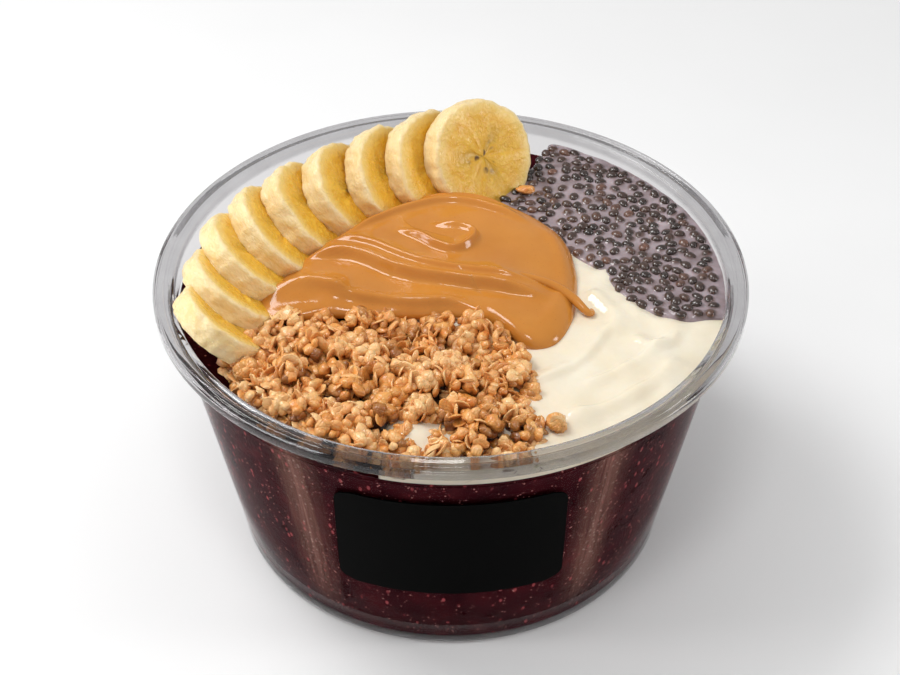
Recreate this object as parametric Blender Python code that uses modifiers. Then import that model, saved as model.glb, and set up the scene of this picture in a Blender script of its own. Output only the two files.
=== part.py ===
"""Acai bowl: a clear plastic bowl with a rimmed flange and a black label,
filled with acai and topped with yogurt, chia pudding, granola, nut butter
and a row of nine banana slices.

Metres, +Z up. The bowl stands on z = 0 with its axis on the Z axis, and the
label faces -Y.
"""
import math

import bmesh
import bpy
from mathutils import Matrix, Vector

MM = 0.001
GAP = 0.3 * MM

# Bowl, driving sizes
RIM_RADIUS = 75.0 * MM
BOWL_HEIGHT = 77.3 * MM
WALL = 0.8 * MM
FLANGE_INNER_RADIUS = 69.6 * MM
SHOULDER_RADIUS = 70.2 * MM
SHOULDER_Z = 67.3 * MM
WALL_TOP_RADIUS = 69.4 * MM
HEEL_RADIUS = 58.7 * MM
HEEL_Z = 8.6 * MM
FOOT_RADIUS = 57.0 * MM
FLOOR_TOP = 1.4 * MM
TURN_STEPS = 72

# Label
LABEL_HALF_WIDTH = 27.4 * MM
LABEL_BOTTOM_Z = 24.0 * MM
LABEL_TOP_Z = 60.7 * MM
LABEL_CORNER = 4.0 * MM
LABEL_THICKNESS = 0.3 * MM

# Contents, heights
ACAI_TOP = 66.0 * MM
LAYER_BOTTOM = ACAI_TOP + GAP
YOGURT_TOP = 73.2 * MM
CHIA_TOP = 74.0 * MM
GRANOLA_TOP = 75.2 * MM
NUT_BUTTER_BOTTOM = 75.6 * MM
NUT_BUTTER_TOP = 80.6 * MM
RIDGE_Z = 80.4 * MM

# Banana row: the slices lean on one another along an arc inside the bowl
SLICE_COUNT = 9
ROW_CENTRE_X = 10.0 * MM
ROW_CENTRE_Y = -22.5 * MM
ROW_RADIUS = 64.0 * MM
ROW_FIRST_ANGLE = 179.0
ROW_STEP = 11.0
ROW_FLOOR = 69.3 * MM
SLICE_THICKNESS = 4.3 * MM
SLICE_RADII = (12.8, 13.9, 14.8, 14.6, 14.4, 14.2, 14.2, 14.6, 15.8)
SLICE_FIRST_AZIMUTH = 25.0
SLICE_AZIMUTH_SWING = 77.0
SLICE_FIRST_TILT = 48.0
SLICE_TILT_SWING = 20.0
SLICE_EDGE = 0.7 * MM

# Plan outlines of the toppings in millimetres, counter-clockwise
WALL_REACH = 80.0
NUT_BUTTER_OUTLINE = (
    (-47.5, -10.0), (-46.0, -14.5), (-41.0, -16.0), (-35.0, -12.5), (-30.0, -12.0),
    (-24.0, -14.0), (-18.0, -16.0), (-8.0, -16.5), (1.0, -16.5), (9.0, -18.0),
    (14.0, -22.5), (17.5, -26.5), (21.5, -27.8), (26.5, -25.0), (29.8, -19.0),
    (31.8, -9.0), (32.6, 2.0), (31.0, 14.0), (26.0, 22.0), (18.0, 28.5),
    (8.0, 33.0), (-2.0, 34.0), (-12.0, 30.0), (-22.0, 23.0), (-32.0, 13.0),
    (-40.0, 3.0),
)
RIDGE_PATH = ((-33.0, 7.0), (-20.0, -0.5), (-5.0, -7.5), (12.0, -9.5), (29.0, -11.5))
RIDGE_RADIUS = 2.6 * MM
CURL_PATH = ((28.5, -11.0), (32.0, -14.2), (35.2, -15.4), (36.2, -12.6))
CURL_RADIUS = 1.1 * MM

# Shared boundaries of the layer under the nut butter
GRANOLA_YOGURT_LINE = (
    (29.0, -WALL_REACH), (27.0, -58.0), (24.5, -52.5), (18.5, -50.5), (17.5, -46.5), (21.0, -42.0),
    (19.5, -36.0), (17.0, -31.0), (13.5, -25.0), (10.0, -18.5),
    (2.0, -13.5), (-8.0, -12.0), (-18.0, -12.0), (-28.0, -9.0), (-33.0, -4.5),
)
YOGURT_BACK_LINE = (
    (-33.0, -4.5), (-27.5, 6.0), (-22.5, 13.0), (-16.0, 19.0), (-8.0, 24.0), (2.0, 26.0), (12.0, 26.5),
)
YOGURT_CHIA_LINE = (
    (12.0, 26.5), (22.0, 20.0), (30.0, 13.0), (33.0, 8.5), (38.0, 3.5), (42.0, -6.0),
    (48.0, -12.0), (55.5, -16.0), (63.0, -16.5), (WALL_REACH, -14.0),
)
GRANOLA_BACK_LINE = (
    (-33.0, -4.5), (-37.0, -10.0), (-41.5, -16.0), (-43.5, -22.0), (-46.0, -30.0), (-49.5, -36.0),
    (-58.0, -38.0), (-WALL_REACH, -44.0),
)
CHIA_BACK_LINE = (
    (30.0, WALL_REACH), (27.5, 60.0), (25.5, 50.0), (22.5, 40.0), (17.0, 32.0), (12.0, 26.5),
)


def clear_scene():
    for obj in list(bpy.data.objects):
        bpy.data.objects.remove(obj, do_unlink=True)


def make_material(name, colour, roughness, alpha=1.0):
    material = bpy.data.materials.new(name)
    material.use_nodes = True
    shader = material.node_tree.nodes["Principled BSDF"]
    shader.inputs["Base Color"].default_value = (*colour, 1.0)
    shader.inputs["Roughness"].default_value = roughness
    shader.inputs["Metallic"].default_value = 0.0
    shader.inputs["Alpha"].default_value = alpha
    material.diffuse_color = (*colour, alpha)
    return material


def new_collection(name):
    collection = bpy.data.collections.new(name)
    bpy.context.scene.collection.children.link(collection)
    return collection


def link_mesh(name, mesh, collection, material):
    obj = bpy.data.objects.new(name, mesh)
    collection.objects.link(obj)
    if material is not None:
        mesh.materials.clear()
        mesh.materials.append(material)
    return obj


def smooth(obj, angle=35.0):
    obj.data.shade_smooth()
    obj.data.set_sharp_from_angle(angle=math.radians(angle))


def evaluated_copy(obj):
    """Return a mesh of the object with its modifiers applied."""
    bpy.context.view_layer.update()
    graph = bpy.context.evaluated_depsgraph_get()
    return bpy.data.meshes.new_from_object(obj.evaluated_get(graph))


def hide_cutter(obj):
    obj.hide_render = True
    obj.display_type = "WIRE"


def turned(name, profile, collection, material, closed=False):
    """Turn a profile of (radius, height) points about the Z axis."""
    mesh = bpy.data.meshes.new(name)
    points = [(radius, 0.0, height) for radius, height in profile]
    edges = [(i, i + 1) for i in range(len(points) - 1)]
    if closed:
        edges.append((len(points) - 1, 0))
    mesh.from_pydata(points, edges, [])
    obj = link_mesh(name, mesh, collection, material)
    screw = obj.modifiers.new("Turn", "SCREW")
    screw.steps = TURN_STEPS
    screw.render_steps = TURN_STEPS
    screw.use_merge_vertices = True
    screw.merge_threshold = 0.00001
    screw.use_smooth_shade = True
    return obj


def wall_radius(height):
    """Outer radius of the tapered wall at a height."""
    share = (height - HEEL_Z) / (SHOULDER_Z - HEEL_Z)
    return HEEL_RADIUS + (WALL_TOP_RADIUS - HEEL_RADIUS) * share


def bowl_outside():
    """Outer profile, from the flange's inner edge over the rim to the base."""
    top = BOWL_HEIGHT
    ridges = [
        (FLANGE_INNER_RADIUS, top - 0.6 * MM),
        (FLANGE_INNER_RADIUS + 0.5 * MM, top - 0.1 * MM),
        (FLANGE_INNER_RADIUS + 1.3 * MM, top - 0.1 * MM),
        (FLANGE_INNER_RADIUS + 1.8 * MM, top - 0.6 * MM),
        (FLANGE_INNER_RADIUS + 2.4 * MM, top - 0.6 * MM),
        (FLANGE_INNER_RADIUS + 2.9 * MM, top),
        (FLANGE_INNER_RADIUS + 3.8 * MM, top),
        (FLANGE_INNER_RADIUS + 4.3 * MM, top - 0.5 * MM),
        (RIM_RADIUS - 0.5 * MM, top - 0.6 * MM),
        (RIM_RADIUS, top - 1.1 * MM),
        (RIM_RADIUS, top - 2.8 * MM),
        (RIM_RADIUS - 0.8 * MM, top - 2.8 * MM),
        (RIM_RADIUS - 0.9 * MM, top - 1.6 * MM),
        (SHOULDER_RADIUS + 0.5 * MM, top - 1.6 * MM),
        (SHOULDER_RADIUS + 0.2 * MM, top - 2.4 * MM),
    ]
    wall = [
        (SHOULDER_RADIUS, SHOULDER_Z + 0.6 * MM),
        (WALL_TOP_RADIUS, SHOULDER_Z),
        (HEEL_RADIUS, HEEL_Z),
        (HEEL_RADIUS - 0.5 * MM, HEEL_Z - 0.5 * MM),
        (FOOT_RADIUS + 0.7 * MM, 3.0 * MM),
        (FOOT_RADIUS, 0.9 * MM),
        (FOOT_RADIUS - 1.0 * MM, 0.0),
    ]
    return ridges + wall + [(0.0, 0.0)]


def bowl_inside(inset=0.0, top=BOWL_HEIGHT - 0.6 * MM):
    """Inner profile, from the axis over the floor up the wall, moved in by the inset."""
    step = WALL + inset
    return [
        (0.0, FLOOR_TOP + inset),
        (FOOT_RADIUS - 2.4 * MM - inset, FLOOR_TOP + inset),
        (FOOT_RADIUS - 0.6 * MM - inset, 3.2 * MM + inset),
        (HEEL_RADIUS - 0.5 * MM - step, HEEL_Z - 0.3 * MM),
        (HEEL_RADIUS - step, HEEL_Z + 0.4 * MM),
        (WALL_TOP_RADIUS - step, SHOULDER_Z + 0.1 * MM),
        (SHOULDER_RADIUS - step, SHOULDER_Z + 0.8 * MM),
        (FLANGE_INNER_RADIUS - inset, top),
    ]


def build_bowl(collection, material):
    inside = bowl_inside()
    profile = inside[:-1] + bowl_outside()
    return turned("bowl", profile, collection, material)


def build_acai(collection, material):
    inside = bowl_inside(GAP)[:5]
    share = (ACAI_TOP - HEEL_Z) / (SHOULDER_Z - HEEL_Z)
    low, high = bowl_inside(GAP)[4], bowl_inside(GAP)[5]
    edge = (low[0] + (high[0] - low[0]) * share, ACAI_TOP)
    profile = [(0.0, ACAI_TOP), edge] + list(reversed(inside))
    return turned("acai", profile, collection, material)


def interior_cutter(collection):
    """Solid of the room inside the bowl, a gap away from its wall."""
    inside = bowl_inside(GAP, top=BOWL_HEIGHT + 20.0 * MM)
    profile = [(0.0, BOWL_HEIGHT + 20.0 * MM)] + list(reversed(inside))
    return turned("cutter_interior", profile, collection, None)


def outline_curve(name, points, half_height, edge, round_shape, collection):
    """Filled flat outline with thickness and rounded edges, in millimetre points."""
    data = bpy.data.curves.new(name, "CURVE")
    data.dimensions = "2D"
    data.fill_mode = "BOTH"
    data.extrude = half_height - edge
    data.bevel_depth = edge
    data.bevel_resolution = 1
    data.offset = -edge - GAP * 0.6
    spline = data.splines.new("NURBS" if round_shape else "POLY")
    spline.points.add(len(points) - 1)
    for target, point in zip(spline.points, points):
        target.co = (point[0] * MM, point[1] * MM, 0.0, 1.0)
    spline.use_cyclic_u = True
    if round_shape:
        spline.order_u = 4
        spline.resolution_u = 2
    data.resolution_u = 2
    data.render_resolution_u = 2
    obj = bpy.data.objects.new(name, data)
    collection.objects.link(obj)
    return obj


def curve_to_mesh(obj, name, collection, material):
    """Replace a curve object with a welded mesh object."""
    place = obj.matrix_world.copy()
    mesh = evaluated_copy(obj)
    bm = bmesh.new()
    bm.from_mesh(mesh)
    bmesh.ops.remove_doubles(bm, verts=bm.verts, dist=0.00001)
    bmesh.ops.recalc_face_normals(bm, faces=bm.faces)
    bm.to_mesh(mesh)
    bm.free()
    bpy.data.objects.remove(obj, do_unlink=True)
    solid = link_mesh(name, mesh, collection, material)
    solid.matrix_world = place
    return solid


def layer(name, points, bottom, top, edge, collection, material, round_shape=False):
    """Flat layer between two heights inside an outline."""
    curve = outline_curve(name + "_outline", points, (top - bottom) / 2, edge, round_shape, collection)
    curve.location.z = (top + bottom) / 2
    bpy.context.view_layer.update()
    return curve_to_mesh(curve, name, collection, material)


def cut(obj, cutter, operation="DIFFERENCE"):
    modifier = obj.modifiers.new(operation.title(), "BOOLEAN")
    modifier.operation = operation
    modifier.solver = "EXACT"
    modifier.object = cutter


def slice_place(index):
    """Matrix that puts a slice's visible face in place, its axis along the slice's normal."""
    share = index / (SLICE_COUNT - 1)
    angle = math.radians(ROW_FIRST_ANGLE - ROW_STEP * index)
    azimuth = math.radians(SLICE_FIRST_AZIMUTH - SLICE_AZIMUTH_SWING * share ** 1.5)
    tilt = math.radians(SLICE_FIRST_TILT - SLICE_TILT_SWING * share ** 2)
    radius = SLICE_RADII[index] * MM
    normal = Vector((
        math.cos(tilt) * math.cos(azimuth),
        math.cos(tilt) * math.sin(azimuth),
        math.sin(tilt),
    ))
    centre = Vector((
        ROW_CENTRE_X + ROW_RADIUS * math.cos(angle),
        ROW_CENTRE_Y + ROW_RADIUS * math.sin(angle),
        ROW_FLOOR + radius * math.cos(tilt),
    ))
    turn = Vector((0.0, 0.0, 1.0)).rotation_difference(normal).to_matrix().to_4x4()
    return Matrix.Translation(centre) @ turn


def slice_disc(name, index, grow, segments, collection, material):
    """Round disc whose top face lies at the slice's visible face."""
    radius = SLICE_RADII[index] * MM + grow
    depth = SLICE_THICKNESS + 2 * grow
    bm = bmesh.new()
    bmesh.ops.create_cone(
        bm, cap_ends=True, segments=segments, radius1=radius, radius2=radius, depth=depth,
        matrix=Matrix.Translation((0.0, 0.0, -SLICE_THICKNESS / 2)),
    )
    mesh = bpy.data.meshes.new(name)
    bm.to_mesh(mesh)
    bm.free()
    obj = link_mesh(name, mesh, collection, material)
    obj.matrix_world = slice_place(index)
    return obj


def build_banana(index, collection, material):
    obj = slice_disc("banana_slice_%d" % (index + 1), index, 0.0, 32, collection, material)
    bevel = obj.modifiers.new("Edge", "BEVEL")
    bevel.width = SLICE_EDGE
    bevel.segments = 2
    bevel.limit_method = "ANGLE"
    bevel.angle_limit = math.radians(60.0)
    smooth(obj)
    return obj


def build_label(collection, cutters, material):
    """Rounded rectangle cut from a thin cone that follows the wall."""
    low, high = LABEL_BOTTOM_Z - 3 * MM, LABEL_TOP_Z + 3 * MM
    near = GAP
    far = GAP + LABEL_THICKNESS
    profile = [
        (wall_radius(high) + near, high),
        (wall_radius(high) + far, high),
        (wall_radius(low) + far, low),
        (wall_radius(low) + near, low),
    ]
    label = turned("label", profile, collection, material, closed=True)
    middle = (LABEL_TOP_Z + LABEL_BOTTOM_Z) / 2
    bpy.ops.mesh.primitive_cube_add(size=1.0, location=(0.0, -60.0 * MM, middle))
    block = bpy.context.object
    block.name = "cutter_label"
    block.scale = (2 * LABEL_HALF_WIDTH, 60.0 * MM, LABEL_TOP_Z - LABEL_BOTTOM_Z)
    bpy.ops.object.transform_apply(location=False, rotation=False, scale=True)
    for owner in list(block.users_collection):
        owner.objects.unlink(block)
    cutters.objects.link(block)
    bm = bmesh.new()
    bm.from_mesh(block.data)
    corners = [e for e in bm.edges if abs(e.verts[0].co.y - e.verts[1].co.y) > 0.01]
    bmesh.ops.bevel(bm, geom=corners, offset=LABEL_CORNER, segments=5, affect="EDGES", profile=0.5)
    bm.to_mesh(block.data)
    bm.free()
    hide_cutter(block)
    cut(label, block, "INTERSECT")
    return label


def ridge_mesh(name, path, height, radius, collection):
    """Soft ridge: a tube with round ends along a smooth path."""
    data = bpy.data.curves.new(name, "CURVE")
    data.dimensions = "3D"
    data.bevel_depth = radius
    data.bevel_resolution = 2
    data.use_fill_caps = True
    data.resolution_u = 4
    data.render_resolution_u = 4
    spline = data.splines.new("NURBS")
    spline.points.add(len(path) - 1)
    for target, point in zip(spline.points, path):
        target.co = (point[0] * MM, point[1] * MM, height, 1.0)
    spline.order_u = 4
    spline.use_endpoint_u = True
    obj = bpy.data.objects.new(name, data)
    collection.objects.link(obj)
    solid = curve_to_mesh(obj, name, collection, None)
    hide_cutter(solid)
    return solid


def build_nut_butter(collection, cutters, slices, material):
    butter = layer(
        "nut_butter", NUT_BUTTER_OUTLINE, NUT_BUTTER_BOTTOM, NUT_BUTTER_TOP, 2.2 * MM,
        collection, material, round_shape=True,
    )
    ridge = ridge_mesh("cutter_ridge", RIDGE_PATH, RIDGE_Z, RIDGE_RADIUS, cutters)
    cut(butter, ridge, "UNION")
    curl = ridge_mesh("cutter_curl", CURL_PATH, NUT_BUTTER_BOTTOM + CURL_RADIUS, CURL_RADIUS, cutters)
    cut(butter, curl, "UNION")
    for disc in slices:
        cut(butter, disc)
    return butter


def build_layer(name, points, top, edge, collection, interior, slices, material):
    obj = layer(name, points, LAYER_BOTTOM, top, edge, collection, material)
    cut(obj, interior, "INTERSECT")
    for disc in slices:
        cut(obj, disc)
    return obj


def wall_points(start, stop, steps):
    """Points outside the wall from one angle to another, for an outline to close on."""
    angles = [math.radians(start + (stop - start) * i / steps) for i in range(1, steps)]
    return tuple((WALL_REACH * math.cos(a) * 1.15, WALL_REACH * math.sin(a) * 1.15) for a in angles)


def main():
    clear_scene()
    parts = new_collection("acai_bowl")
    cutters = new_collection("cutters")
    clear_plastic = make_material("clear_plastic", (0.86, 0.88, 0.90), 0.08, alpha=0.3)
    label_black = make_material("label_black", (0.012, 0.013, 0.013), 0.6)
    acai_purple = make_material("acai_purple", (0.045, 0.006, 0.014), 0.4)
    yogurt_cream = make_material("yogurt_cream", (0.84, 0.79, 0.66), 0.3)
    chia_grey = make_material("chia_grey", (0.17, 0.13, 0.14), 0.3)
    granola_tan = make_material("granola_tan", (0.50, 0.31, 0.15), 0.6)
    butter_brown = make_material("butter_brown", (0.53, 0.25, 0.07), 0.3)
    banana_cream = make_material("banana_cream", (0.80, 0.62, 0.27), 0.4)

    build_bowl(parts, clear_plastic)
    build_label(parts, cutters, label_black)
    build_acai(parts, acai_purple)
    interior = interior_cutter(cutters)
    hide_cutter(interior)
    discs = []
    for index in range(SLICE_COUNT):
        build_banana(index, parts, banana_cream)
        disc = slice_disc("cutter_slice_%d" % (index + 1), index, 1.3 * GAP, 32, cutters, None)
        hide_cutter(disc)
        discs.append(disc)

    granola = GRANOLA_YOGURT_LINE + GRANOLA_BACK_LINE[1:] + wall_points(209.0, 290.0, 5)
    build_layer("granola", granola, GRANOLA_TOP, 0.8 * MM, parts, interior, discs[:2], granola_tan)
    yogurt = tuple(reversed(GRANOLA_YOGURT_LINE)) + wall_points(290.0, 350.0, 4)
    yogurt += tuple(reversed(YOGURT_CHIA_LINE)) + tuple(reversed(YOGURT_BACK_LINE))[1:-1]
    build_layer("yogurt", yogurt, YOGURT_TOP, 0.8 * MM, parts, interior, discs, yogurt_cream)
    chia = YOGURT_CHIA_LINE + wall_points(-10.0, 69.0, 5) + CHIA_BACK_LINE[:-1]
    build_layer("chia_pudding", chia, CHIA_TOP, 0.8 * MM, parts, interior, discs[7:], chia_grey)
    build_nut_butter(parts, cutters, discs, butter_brown)


main()
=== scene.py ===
"""Acai bowl in a clear plastic tub: yogurt, chia pudding, granola, nut butter and banana."""

import math

import bpy
import numpy as np
from mathutils import Euler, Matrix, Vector, noise


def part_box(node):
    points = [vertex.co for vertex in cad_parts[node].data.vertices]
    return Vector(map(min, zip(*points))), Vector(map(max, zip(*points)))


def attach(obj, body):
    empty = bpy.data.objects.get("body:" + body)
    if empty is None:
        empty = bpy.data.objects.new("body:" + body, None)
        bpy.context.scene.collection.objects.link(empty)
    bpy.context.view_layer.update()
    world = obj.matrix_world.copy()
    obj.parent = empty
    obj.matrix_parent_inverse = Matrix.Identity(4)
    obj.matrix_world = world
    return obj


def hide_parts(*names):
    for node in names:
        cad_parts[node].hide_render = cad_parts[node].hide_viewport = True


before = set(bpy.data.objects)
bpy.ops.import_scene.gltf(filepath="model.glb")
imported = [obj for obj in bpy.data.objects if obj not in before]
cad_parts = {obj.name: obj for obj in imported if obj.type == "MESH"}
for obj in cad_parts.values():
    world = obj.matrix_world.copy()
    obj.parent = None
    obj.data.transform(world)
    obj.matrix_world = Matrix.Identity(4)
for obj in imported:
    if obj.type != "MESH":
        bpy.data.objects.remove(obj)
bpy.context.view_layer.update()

MM = 0.001
BOWL_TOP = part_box("bowl")[1].z / MM
RIM_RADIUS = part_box("bowl")[1].x / MM
ACAI_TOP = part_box("acai")[1].z / MM
WALL = 0.8
FLANGE_INNER = RIM_RADIUS - 5.4
SHOULDER_RADIUS = FLANGE_INNER + 0.6
SHOULDER_Z = ACAI_TOP + 1.3
WALL_TOP_RADIUS = SHOULDER_RADIUS - 0.8
HEEL_RADIUS = 58.7
HEEL_Z = 8.6
FOOT_RADIUS = 57.0
FLOOR_TOP = 1.4
INNER_REACH = SHOULDER_RADIUS - WALL + 0.1


# ---------------------------------------------------------------- making

def deselect():
    bpy.ops.object.select_all(action="DESELECT")


def activate(obj):
    deselect()
    obj.select_set(True)
    bpy.context.view_layer.objects.active = obj


def coordinates(obj):
    """Vertex places of an object as an array in millimetres."""
    flat = np.empty(len(obj.data.vertices) * 3)
    obj.data.vertices.foreach_get("co", flat)
    return flat.reshape(-1, 3) / MM


def place_vertices(obj, places):
    obj.data.vertices.foreach_set("co", (places * MM).ravel())
    obj.data.update()


def spin_profile(name, points, steps):
    """Extrude one vertex along a profile of (radius, height) and spin it about the Z axis."""
    deselect()
    bpy.ops.mesh.primitive_plane_add(size=1.0 * MM, location=(0.0, 0.0, 0.0))
    obj = bpy.context.object
    obj.name = name
    obj.data.name = name
    bpy.ops.object.mode_set(mode="EDIT")
    bpy.ops.mesh.merge(type="CENTER")
    bpy.ops.mesh.select_all(action="SELECT")
    here = Vector((points[0][0] * MM, 0.0, points[0][1] * MM))
    bpy.ops.transform.translate(value=here)
    for radius, height in points[1:]:
        there = Vector((radius * MM, 0.0, height * MM))
        bpy.ops.mesh.extrude_region_move(TRANSFORM_OT_translate={"value": there - here})
        here = there
    bpy.ops.mesh.select_all(action="SELECT")
    bpy.ops.mesh.spin(steps=steps, angle=2 * math.pi, center=(0, 0, 0), axis=(0, 0, 1))
    bpy.ops.mesh.select_all(action="SELECT")
    bpy.ops.mesh.remove_doubles(threshold=0.004 * MM)
    bpy.ops.mesh.normals_make_consistent(inside=False)
    bpy.ops.object.mode_set(mode="OBJECT")
    return obj


def smooth(obj, angle=None):
    activate(obj)
    if angle is None:
        bpy.ops.object.shade_smooth()
    else:
        bpy.ops.object.shade_smooth_by_angle(angle=math.radians(angle))


def join(pieces, name):
    deselect()
    for piece in pieces:
        piece.select_set(True)
    bpy.context.view_layer.objects.active = pieces[0]
    bpy.ops.object.join()
    whole = bpy.context.object
    whole.name = name
    whole.data.name = name
    return whole


def give_tint(obj, value):
    """Store one number on all vertices of a piece, for its colour to vary by."""
    layer = obj.data.attributes.new("tint", "FLOAT", "POINT")
    layer.data.foreach_set("value", np.full(len(obj.data.vertices), value, dtype=np.float32))


def finish_piece(obj, slot, material, *nodes):
    obj.data.materials.clear()
    obj.data.materials.append(material)
    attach(obj, "root")
    if nodes:
        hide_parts(*nodes)


def smoothstep(low, high, value):
    share = np.clip((value - low) / (high - low), 0.0, 1.0)
    return share * share * (3 - 2 * share)


def wavy(x, y, size, seed):
    """Gentle noise for arrays of plan places, about -1 to 1."""
    out = np.empty(len(x))
    for i in range(len(x)):
        out[i] = noise.noise(Vector((x[i] / size, y[i] / size, seed)))
    return out * 1.6


def near_path(x, y, path):
    """Distance from each place to a path, and the side it lies on."""
    best = np.full(len(x), 1e9)
    side = np.zeros(len(x))
    along = np.zeros(len(x))
    total = 0.0
    for (x0, y0), (x1, y1) in zip(path[:-1], path[1:]):
        dx, dy = x1 - x0, y1 - y0
        length = math.hypot(dx, dy)
        share = np.clip(((x - x0) * dx + (y - y0) * dy) / length ** 2, 0.0, 1.0)
        away = np.hypot(x - x0 - share * dx, y - y0 - share * dy)
        closer = away < best
        best = np.where(closer, away, best)
        side = np.where(closer, np.sign(dx * (y - y0) - dy * (x - x0)), side)
        along = np.where(closer, total + share * length, along)
        total += length
    return best, side, along / total


def rounded(path, turns=3):
    """A path with its corners cut round."""
    for _ in range(turns):
        fresh = [path[0]]
        for (x0, y0), (x1, y1) in zip(path[:-1], path[1:]):
            fresh.append((0.75 * x0 + 0.25 * x1, 0.75 * y0 + 0.25 * y1))
            fresh.append((0.25 * x0 + 0.75 * x1, 0.25 * y0 + 0.75 * y1))
        fresh.append(path[-1])
        path = fresh
    return path


def fold(x, y, path, height, width, lean=0.0):
    """A soft ridge along a path, steeper on one side, that dies away at its ends."""
    away, side, along = near_path(x, y, rounded(path))
    reach = np.where(side > 0, width * (1 + lean), width * (1 - lean))
    ends = smoothstep(0.0, 0.18, along) * smoothstep(0.0, 0.18, 1 - along)
    return height * ends * np.exp(-((away / reach) ** 2))


def outline_radius(points, centre, angles):
    """Distance from a centre to a closed outline along each angle."""
    closed = rounded(list(points) + [points[0]], 2)
    around = np.array([math.atan2(y - centre[1], x - centre[0]) for x, y in closed])
    reach = np.array([math.hypot(x - centre[0], y - centre[1]) for x, y in closed])
    order = np.argsort(around)
    around, reach = around[order], reach[order]
    around = np.concatenate([around - 2 * math.pi, around, around + 2 * math.pi])
    reach = np.tile(reach, 3)
    return np.interp(angles, around, reach)


def spread(name, points, centre, segments, rings, floor, top, edge_power, limit=None):
    """A closed soft mass: a ball whose upper half follows a height rule inside an outline."""
    deselect()
    bpy.ops.mesh.primitive_uv_sphere_add(segments=segments, ring_count=rings, radius=1.0)
    obj = bpy.context.object
    obj.name = name
    obj.data.name = name
    unit = coordinates(obj) * MM
    flat = np.hypot(unit[:, 0], unit[:, 1])
    angle = np.arctan2(unit[:, 1], unit[:, 0])
    lift = np.arcsin(np.clip(unit[:, 2], -1, 1)) / (math.pi / 2)
    share = 1 - np.abs(lift)
    share = np.where(flat < 1e-6, 0.0, np.minimum(share * 1.0, 1.0))
    reach = outline_radius(points, centre, angle)
    x = centre[0] + reach * share * np.cos(angle)
    y = centre[1] + reach * share * np.sin(angle)
    if limit is not None:
        out = np.hypot(x, y)
        squeeze = np.minimum(1.0, limit / np.maximum(out, 1e-6))
        x, y = x * squeeze, y * squeeze
    low = floor(x, y)
    crown = np.power(np.clip(1 - share ** edge_power, 0.0, 1.0), 0.5)
    z = np.where(unit[:, 2] >= -1e-9, low + (top(x, y) - low) * crown, low - 0.2 * crown)
    place_vertices(obj, np.stack([x, y, z], 1))
    smooth(obj)
    return obj


# ---------------------------------------------------------------- finishes

class Finish:
    """A node material whose parts are added one at a time."""

    def __init__(self, name):
        self.material = bpy.data.materials.new(name)
        self.material.use_nodes = True
        self.nodes = self.material.node_tree.nodes
        self.links = self.material.node_tree.links
        self.shader = self.nodes["Principled BSDF"]
        self.place = self.add("ShaderNodeTexCoord").outputs["Object"]

    def add(self, kind, **settings):
        node = self.nodes.new(kind)
        for key, value in settings.items():
            setattr(node, key, value)
        return node

    def join(self, source, target):
        self.links.new(source, target)

    def set(self, **values):
        for key, value in values.items():
            self.shader.inputs[key.replace("_", " ")].default_value = value

    def noise(self, scale, detail=3.0, roughness=0.55, where=None):
        node = self.add("ShaderNodeTexNoise")
        node.inputs["Scale"].default_value = scale
        node.inputs["Detail"].default_value = detail
        node.inputs["Roughness"].default_value = roughness
        self.join(where or self.place, node.inputs["Vector"])
        return node.outputs["Fac"]

    def cells(self, scale, feature="F1", output="Distance", where=None):
        node = self.add("ShaderNodeTexVoronoi", feature=feature)
        node.inputs["Scale"].default_value = scale
        self.join(where or self.place, node.inputs["Vector"])
        return node.outputs[output]

    def ramp(self, source, *stops):
        node = self.add("ShaderNodeValToRGB")
        ramp = node.color_ramp
        while len(ramp.elements) < len(stops):
            ramp.elements.new(0.5)
        for element, (position, colour) in zip(ramp.elements, stops):
            element.position = position
            element.color = (*colour, 1.0)
        self.join(source, node.inputs["Fac"])
        return node.outputs["Color"]

    def grade(self, source, low, high, out_low=0.0, out_high=1.0):
        node = self.add("ShaderNodeMapRange")
        for key, value in zip(("From Min", "From Max", "To Min", "To Max"), (low, high, out_low, out_high)):
            node.inputs[key].default_value = value
        self.join(source, node.inputs["Value"])
        return node.outputs["Result"]

    def math(self, operation, first, second=None):
        node = self.add("ShaderNodeMath", operation=operation)
        for socket, value in zip(node.inputs, (first, second)):
            if value is None:
                continue
            if isinstance(value, (int, float)):
                socket.default_value = value
            else:
                self.join(value, socket)
        return node.outputs["Value"]

    def mix(self, amount, first, second, blend="MIX"):
        node = self.add("ShaderNodeMix", data_type="RGBA", blend_type=blend)
        for socket, value in ((node.inputs[0], amount), (node.inputs[6], first), (node.inputs[7], second)):
            if isinstance(value, tuple):
                socket.default_value = (*value, 1.0)
            elif isinstance(value, (int, float)):
                socket.default_value = value
            else:
                self.join(value, socket)
        return node.outputs[2]

    def colour(self, source):
        self.join(source, self.shader.inputs["Base Color"])

    def rough(self, source):
        self.join(source, self.shader.inputs["Roughness"])

    def bump(self, source, strength, distance):
        node = self.add("ShaderNodeBump")
        node.inputs["Strength"].default_value = strength
        node.inputs["Distance"].default_value = distance
        self.join(source, node.inputs["Height"])
        self.join(node.outputs["Normal"], self.shader.inputs["Normal"])
        return node.outputs["Normal"]

    def attribute(self, name, output):
        node = self.add("ShaderNodeAttribute", attribute_name=name)
        return node.outputs[output]


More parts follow.
